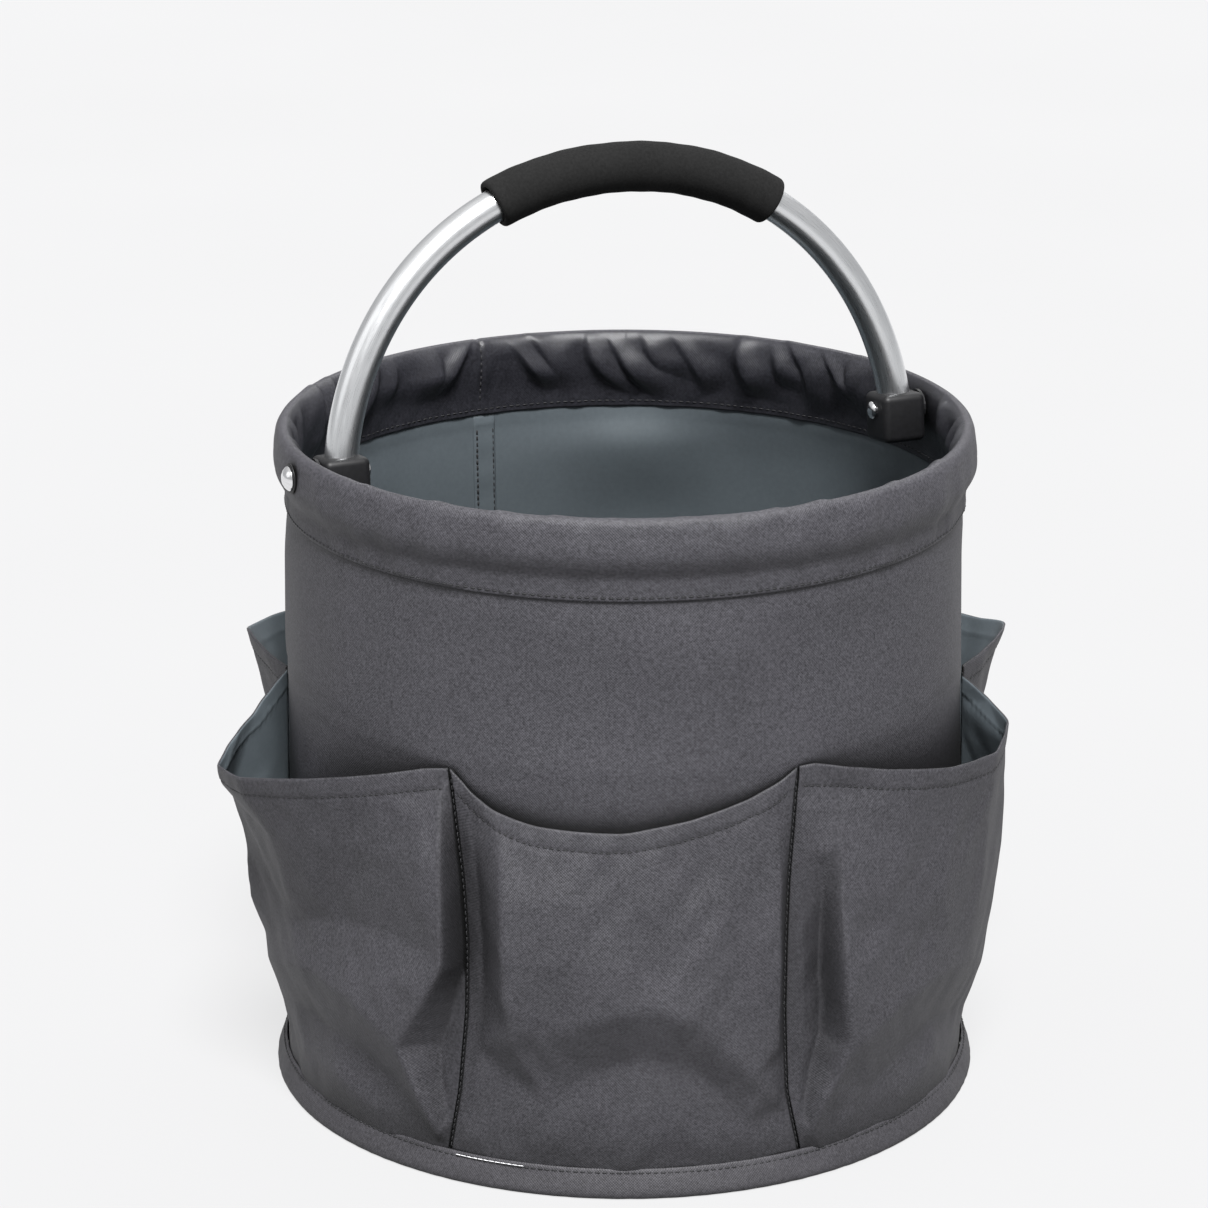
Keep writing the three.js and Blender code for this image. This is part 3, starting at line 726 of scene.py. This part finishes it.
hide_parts("base_binding")

ring = np.linspace(-180, 180, 720)
lift = 12.3 + 0.35 * waves(ring, 0 * ring, 33, 5, (3, 9), (0, 0.01))
base_line = polar(ring, 170.2 + 0 * ring, lift)
thread_line("base_stitch", base_line, polar(ring, 1.0, 0.6 + 0 * ring), "bucket", pitch=3.4, length=2.6,
            width=0.6, height=0.25, seed=61)

# A row of pale bars along the top of the base binding, at the front left.
ring = np.linspace(-27.8, -15.5, 40)
pale = polar(ring, 170.6 + 0 * ring, 13.0 + 0 * ring)
thread_line("pale_marks_on_binding", pale, polar(ring, 1.0, 0.6 + 0 * ring), "bucket", pitch=2.9, length=2.85,
            width=0.4, height=0.3, material=PALE_MARK, skip=0.1, seed=62)

rr = np.concatenate([np.linspace(0.0, 166, 30), [167.5, 168.3]])
az = np.linspace(-180, 180, 120, endpoint=False)[:, None]
sag = 0.18 * waves(az, 0 * rr[None, :], 34, 5, (2, 7), (0, 0.01)) * (rr[None, :] / 168)
top = polar(az, rr[None, :], 1.15 + 0 * sag)
bottom = polar(az, rr[None, :], np.maximum(0.0, 0.08 + 0.25 * sag) * (rr[None, :] < 160))
disc = shell("base_cloth", bottom, top, True, [CLOTH, COATING])
clean(disc, 2e-6)
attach(disc, "bucket")
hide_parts("base_panel")

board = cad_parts["base_board"]
board.data.materials.clear()
board.data.materials.append(grained_material("board_film", (0.045, 0.052, 0.057), (0.075, 0.085, 0.092),
                                             300.0, 0.55, 0.15))


# ---------- rim ----------
PROFILE = [
    (163.05, 289.7), (163.7, 291.2), (163.75, 295.5), (163.9, 300), (164.9, 302.6), (166.9, 306.2),
    (168.4, 310.2), (168.8, 313.8), (168.6, 317.5), (168.1, 321.0), (167.6, 324.2), (166.6, 327.0),
    (164.9, 328.7), (163.0, 329.0), (161.2, 328.2), (159.4, 325.7), (158.3, 321.8), (158.0, 318),
    (158.2, 313), (158.9, 308), (159.7, 303), (160.2, 298), (160.4, 293.5), (160.5, 289.3),
]


def gathers(a, below, seed=5):
    """Puckers of the hem inside the rim: slanting ridges, steep on one side. They lean away from
    the side seam on both sides of it. mm inward."""
    rng = np.random.default_rng(seed)
    total = np.zeros(np.broadcast(a, below).shape)
    at = SEAM_AZ_INSIDE + 3.0
    while at < SEAM_AZ_INSIDE + 360 - 3.0:
        side = 1.0 if at < SEAM_AZ_INSIDE + 165 else -1.0
        lean = side * rng.uniform(0.10, 0.34)
        height = rng.uniform(2.4, 5.0)
        top, foot = rng.uniform(-7, 3), rng.uniform(26, 40)
        steep, easy = rng.uniform(3.4, 5.6), rng.uniform(10.0, 19.0)
        curve = rng.uniform(-0.008, 0.010)
        centre = at + lean * (below - 4) + curve * (below - 20) ** 2 * side
        narrow = 0.42 + 0.58 * smooth_step(below, top, top + 24)
        x = ((a - centre + 180) % 360 - 180) * 2.8 * side / narrow
        ridge = np.where(x > 0, np.exp(-(x / easy) ** 2), np.exp(-(x / steep) ** 2))
        ends = smooth_step(below, top, top + 21) * (1 - smooth_step(below, foot - 14, foot + 3))
        total = np.maximum(total, height * ridge * ends)
        at += rng.uniform(5.0, 11.0)
    return total


def rim_surface(az, rows=120):
    """Cloth over the hoop: smooth outside, gathered inside. Returns points and arc length."""
    prof = spline(PROFILE, rows)
    tangent = unit(np.gradient(prof, axis=0))
    normal = np.stack([tangent[:, 1], -tangent[:, 0]], -1)
    q = np.concatenate([[0], np.cumsum(np.linalg.norm(np.diff(prof, axis=0), axis=1))])
    crest = q[np.argmax(prof[:, 1])]
    below = (q - crest)[None, :]
    a = az[:, None]
    d = gathers(a, below) - 0.4 * smooth_step(below, 6, 14)
    d = d + 0.35 * waves(a, q[None, :], 43, 9, (20, 70), (0.05, 0.3)) * smooth_step(below, 4, 12)
    d = d - 1.4 * bump((a - SEAM_AZ_INSIDE + 180) % 360 - 180, 0.5, 0.4) * smooth_step(below, -4, 3)
    d = d + 0.5 * bump((a - SEAM_AZ_INSIDE + 180) % 360 - 180, 0.0, 1.3) * smooth_step(below, -2, 6)
    wavy = (0.42 * waves(a, q[None, :], 41, 9, (14, 60), (0, 0.12))
            + 0.25 * waves(a, q[None, :], 42, 6, (4, 12), (0, 0.05)))
    pucker = 0.20 * np.sin(np.radians(a) * 150 + 3 * np.sin(np.radians(a) * 11)) - 0.25
    pucker = pucker * bump(q[None, :], 2.6, 2.6)
    d = d + (wavy * (1 - smooth_step(below, -10, -2)) + pucker) * smooth_step(q, 0.3, 3.0)[None, :]
    right_pivot, left_pivot = AXIS_AZ + 90, AXIS_AZ - 90
    near = np.minimum(np.abs((a - right_pivot + 180) % 360 - 180),
                      np.abs((a - left_pivot + 180) % 360 - 180))
    calm = smooth_step(near, 6.5, 11.0)
    d = np.where(below > 0, d * calm, d * (0.2 + 0.8 * calm))
    d = np.clip(d, np.where(below > 0, -0.42, -0.3), 6.0)
    r = prof[None, :, 0] + normal[None, :, 0] * d
    z = prof[None, :, 1] + normal[None, :, 1] * d
    return polar(a, r, z), q, crest


az = np.linspace(-180, 180, RIM_COLUMNS, endpoint=False)
rim, q, crest = rim_surface(az)
n = grid_normals(rim, True)
inner = rim - n * CASING_T
casing = shell("rim_cloth", rim, inner, True, [CLOTH, COATING],
               uv_u=np.linspace(0, 1030, RIM_COLUMNS), uv_v=q)
casing.data.materials.append(BAND)
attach(casing, "rim")
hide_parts("rim_casing")
poly = casing.data.polygons
mat = np.zeros(len(poly), np.int32)
poly.foreach_get("material_index", mat)
centre = np.empty(len(poly) * 3)
poly.foreach_get("center", centre)
centre = centre.reshape(-1, 3)
inside = (np.hypot(centre[:, 0], centre[:, 1]) < 0.1622) & (mat == 0)
mat[inside] = 2
poly.foreach_set("material_index", mat)

for name, at, length, seed in (("rim_stitch_outside", 2.4, 2.8, 71),
                               ("rim_stitch_inside", q[-1] - 3.0, 2.6, 72)):
    row = int(np.argmin(np.abs(q - at)))
    line = rim[:, row] + n[:, row] * 0.05
    thread_line(name, np.vstack([line, line[:1]]), np.vstack([n[:, row], n[:1, row]]), "rim",
                pitch=3.6, length=length, width=0.6, seed=seed)

column = int(round((SEAM_AZ_INSIDE + 0.5 + 180) % 360 / 360 * RIM_COLUMNS)) % RIM_COLUMNS
rows = slice(int(np.argmax(q > crest + 1.0)), int(np.argmax(q > q[-1] - 4.5)))
thread_line("rim_seam_stitch", rim[column, rows] + n[column, rows] * 0.05, n[column, rows], "rim",
            pitch=3.6, length=2.9, width=0.8, seed=73)

# Felled seam up the inside of the wall: a double strip with two stitch lines.
zline = np.linspace(6, 289.4, 140)
width = np.linspace(-8.0, 4.4, 15)
edge = smooth_step(6.2 - np.abs(width + 1.8), 0, 1.0)[:, None]
edge = edge * (1 - 0.97 * smooth_step(zline, 285, 287.2))[None, :]
azs = SEAM_AZ_INSIDE + np.degrees(width[:, None] / 162.0) + 0.12 * np.sin(zline[None, :] * 0.05)
dent = hold_in(wall_dent(azs, zline[None, :]), zline[None, :]) - behind_pockets(zline[None, :])
low = wall_out(zline)[None, :] + dent - 0.75
ridge = 0.75 * edge + 0.12 * np.sin(zline[None, :] * 0.35) * edge
outer = polar(azs, low, zline[None, :])
inner = polar(azs, low - 0.03 - ridge, zline[None, :])
seam = shell("felled_seam", outer, inner, False, [COATING, COATING])
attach(seam, "bucket")
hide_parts("side_seam")
collapse(seam)
zline = np.linspace(6, 285, 120)
for k, off in enumerate((-6.6, 2.4)):
    a = SEAM_AZ_INSIDE + np.degrees(off / 162.0) + 0.12 * np.sin(zline * 0.05)
    d = hold_in(wall_dent(a, zline), zline) - behind_pockets(zline)
    line = polar(a, wall_out(zline) + d - 1.54, zline)
    st = thread_line(f"felled_seam_stitch_{k}", line, polar(a, -1.0, 0 * zline), "bucket", pitch=3.2,
                     length=(2.5, 2.9)[k], width=(0.6, 1.1)[k], seed=80 + k)
    collapse(st)


# ---------- handle ----------
def arch_point(t):
    c, s = np.cos(t), np.sin(t)
    x = ARCH_W * np.sign(c) * np.abs(c) ** (2 / ARCH_P)
    z = ARCH_BASE + ARCH_H * np.abs(s) ** (2 / ARCH_P)
    return np.stack([x, 0 * x, z], -1)


def place_handle(p):
    """From the handle's own plane to its leaning place over the bucket."""
    a = math.radians(-LEAN)
    b = math.radians(AXIS_AZ)
    p = np.asarray(p, float)
    x, y, z = p[..., 0], p[..., 1], p[..., 2]
    y, z = y * math.cos(a) - z * math.sin(a), y * math.sin(a) + z * math.cos(a)
    x, y = x * math.cos(b) - y * math.sin(b), x * math.sin(b) + y * math.cos(b)
    return np.stack([x, y, z + PIVOT_Z], -1)


def sweep(path, radius, around, shift=0.0):
    """Grid [around, along, 3] of a tube on a path in the handle's plane. shift moves it outward."""
    tangent = unit(np.gradient(path, axis=0))
    across = np.array([0.0, 1.0, 0.0])
    normal = np.cross(tangent, across)
    normal = np.where((normal * path).sum(-1, keepdims=True) < 0, -normal, normal)
    t = np.linspace(0, 2 * math.pi, around, endpoint=False)[:, None, None]
    r = np.asarray(radius, float)
    r = (r if r.ndim else np.full(len(path), float(r)))[None, :, None]
    return (path + normal * shift)[None] + r * (np.cos(t) * normal[None] + np.sin(t) * across)


legs = np.array([[LEG_X, 0, TUBE_FOOT], [LEG_X, 0, -6], [LEG_X, 0, 0], [LEG_X, 0, 6]])
arch = arch_point(np.radians(np.linspace(9, 171, 60)))
path = np.vstack([legs, arch, legs[::-1] * [-1, 1, 1]])
path = spline(path, 220)
outer = sweep(path, TUBE_R, 48)
inner = sweep(path, TUBE_BORE, 48)
tube = shell("arched_tube", place_handle(outer), place_handle(inner), True, [TUBE],
             uv_u=np.linspace(0, 50.3, 48), uv_v=np.linspace(0, 520, 220))
clean(tube)
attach(tube, "handle")
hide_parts("handle_tube")

t = np.radians(np.concatenate([[GRIP_FROM, GRIP_FROM + 0.12, GRIP_FROM + 0.4],
                               np.linspace(GRIP_FROM + 1.0, GRIP_TO - 1.0, 90),
                               [GRIP_TO - 0.4, GRIP_TO - 0.12, GRIP_TO]]))
path = arch_point(t)
count = len(path)
ring = np.arange(count)
radius = np.full(count, GRIP_R) + 0.10 * np.sin(ring * 0.31) + 0.07 * np.sin(ring * 0.83 + 1)
radius[[0, -1]] -= 1.2
radius[[1, -2]] -= 0.45
radius[[2, -3]] -= 0.12
outer = sweep(path, radius, 56, 0.5)
bore = np.full(count, 8.9)
bore[[0, -1]] += 0.7
bore[[1, -2]] += 0.25
inner = sweep(path, bore, 56, 0.75)
grip = shell("foam_sleeve", place_handle(outer), place_handle(inner), True, [FOAM],
             uv_u=np.linspace(0, 75, 56), uv_v=np.linspace(0, 150, count))
clean(grip)
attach(grip, "handle")
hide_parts("foam_grip")


def rounded_block(name, lo, hi, bevel, materials):
    x0, y0, z0 = lo
    x1, y1, z1 = hi
    verts = [(x, y, z) for z in (z0, z1) for y in (y0, y1) for x in (x0, x1)]
    faces = [(0, 2, 3, 1), (4, 5, 7, 6), (0, 1, 5, 4), (2, 6, 7, 3), (0, 4, 6, 2), (1, 3, 7, 5)]
    obj = mesh_object(name, verts, faces, materials)
    mod = obj.modifiers.new("bevel", "BEVEL")
    mod.width = bevel * MM
    mod.segments = 5
    apply_modifiers(obj)
    return obj


def move_mesh(obj, fn):
    co = np.empty(len(obj.data.vertices) * 3)
    obj.data.vertices.foreach_get("co", co)
    co = fn(co.reshape(-1, 3) / MM) * MM
    obj.data.vertices.foreach_set("co", co.ravel())
    obj.data.update()


def turned_solid(name, profile, materials, place, segments=48):
    """Turned solid; the profile is [radius, distance along the pivot line]."""
    grid = lathe_grid(profile, segments)
    x, y, z = grid[..., 0], grid[..., 1], grid[..., 2]
    grid = place(np.stack([z, x, y], -1))
    nu, nv = grid.shape[:2]
    faces = []
    for i in range(nu):
        for j in range(nv - 1):
            a, b = i * nv + j, ((i + 1) % nu) * nv + j
            faces.append((a, b, b + 1, a + 1))
    uv = np.stack(np.meshgrid(np.linspace(0, 20, nu), np.linspace(0, 20, nv), indexing="ij"), -1)
    obj = mesh_object(name, grid.reshape(-1, 3), faces, materials, uv=uv.reshape(-1, 2))
    clean(obj, 1e-6)
    return obj


def pivot_place(sign):
    def fn(p):
        b = math.radians(AXIS_AZ)
        x, y, z = p[..., 0] * sign, p[..., 1] * sign, p[..., 2]
        x, y = x * math.cos(b) - y * math.sin(b), x * math.sin(b) + y * math.cos(b)
        return np.stack([x, y, z + PIVOT_Z], -1)
    return fn


for side, sign in (("right", 1), ("left", -1)):
    block = rounded_block(f"end_bracket_{side}", (133.0, -11.6, -16), (155.6, 11.6, 8.0), 3.4, [PLASTIC])
    move_mesh(block, lambda p: place_handle(p * [sign, sign, 1]))
    clean(block)
    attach(block, "handle")
    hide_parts(f"handle_bracket_{side}")

    dome = [(0, 173.4), (1.6, 173.25), (3.0, 172.8), (4.4, 172.0), (5.4, 171.0), (5.9, 170.3), (5.9, 169.9),
            (5.4, 169.8), (2.5, 169.8), (2.5, 133.0), (2.5, 132.0), (4.2, 131.9), (4.4, 131.4),
            (3.8, 130.7),
            (2.2, 130.1), (0, 129.9)]
    rivet = turned_solid(f"rivet_{side}", dome, [RIVET], pivot_place(sign))
    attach(rivet, "rim")
    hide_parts(f"pivot_rivet_{side}", f"rivet_burr_{side}")

    ring = [(2.85, 169.75), (2.85, 168.9), (6.9, 168.9), (7.3, 169.1), (7.3, 169.5), (6.9, 169.75),
            (2.85, 169.75)]
    washer = turned_solid(f"washer_{side}", ring, [PLASTIC], pivot_place(sign))
    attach(washer, "rim")
    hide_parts(f"outer_washer_{side}")

for node in ("rim_hoop", "pivot_spacer_left", "pivot_spacer_right"):
    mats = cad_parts[node].data.materials
    mats.clear()
    mats.append(PLASTIC)


# ---------- stage, light and camera ----------
def stage_material():
    """White paper that glows a little, as if lit through from below, so that it stays even."""
    m, nodes, links, bsdf = new_material("floor_paper", 0.95)
    obj = nodes.new("ShaderNodeTexCoord")
    fac = noise(nodes, links, obj.outputs["Object"], 2.0, 2.0, 0.5)
    links.new(ramp(nodes, links, fac, [(0.3, (0.054, 0.054, 0.055)), (0.7, (0.058, 0.058, 0.059))]),
              bsdf.inputs["Base Color"])
    bsdf.inputs["Specular IOR Level"].default_value = 0.0
    bsdf.inputs["Emission Color"].default_value = (1.0, 1.0, 1.005, 1.0)
    bsdf.inputs["Emission Strength"].default_value = 0.735
    return m


floor = mesh_object("floor", [(-15000, -15000, -0.02), (15000, -15000, -0.02), (15000, 15000, -0.02),
                              (-15000, 15000, -0.02)], [(0, 1, 2, 3)], [stage_material()])

world = bpy.data.worlds.new("studio")
bpy.context.scene.world = world
world.use_nodes = True
wn, wl = world.node_tree.nodes, world.node_tree.links
back = wn["Background"]
coord = wn.new("ShaderNodeTexCoord")
split = wn.new("ShaderNodeSeparateXYZ")
wl.new(coord.outputs["Generated"], split.inputs[0])
up = ramp(wn, wl, split.outputs[2], [(0.0, (0.62, 0.63, 0.64)), (0.4, (0.66, 0.66, 0.67)), (0.85, (1, 1, 1))])
wl.new(up, back.inputs["Color"])
back.inputs["Strength"].default_value = 0.8


def sun(name, direction, angle, power):
    data = bpy.data.lights.new(name, "SUN")
    data.angle = math.radians(angle)
    data.energy = power
    obj = bpy.data.objects.new(name, data)
    obj.rotation_euler = Vector(direction).to_track_quat("-Z", "Y").to_euler()
    bpy.context.scene.collection.objects.link(obj)


sun("key", (-0.085, 0.60, -1.0), 20, 8.4)
sun("fill_left", (0.9, 0.35, -0.55), 40, 0.25)
sun("fill_back", (-0.3, -0.9, -0.8), 40, 0.9)

CAM_BACK, CAM_UP, CAM_PITCH, CAM_YAW, CAM_LENS = 1.9993, 0.9005, 18.42, 0.29, 129.25
cam_data = bpy.data.cameras.new("camera")
cam_data.lens = CAM_LENS
cam_data.sensor_width = 36.0
cam_data.clip_end = 60.0
camera = bpy.data.objects.new("camera", cam_data)
camera.location = (0.0, -CAM_BACK, CAM_UP)
camera.rotation_euler = (math.radians(90 - CAM_PITCH), 0.0, math.radians(CAM_YAW))
bpy.context.scene.collection.objects.link(camera)
bpy.context.scene.camera = camera
bpy.context.scene.view_settings.view_transform = "Standard"
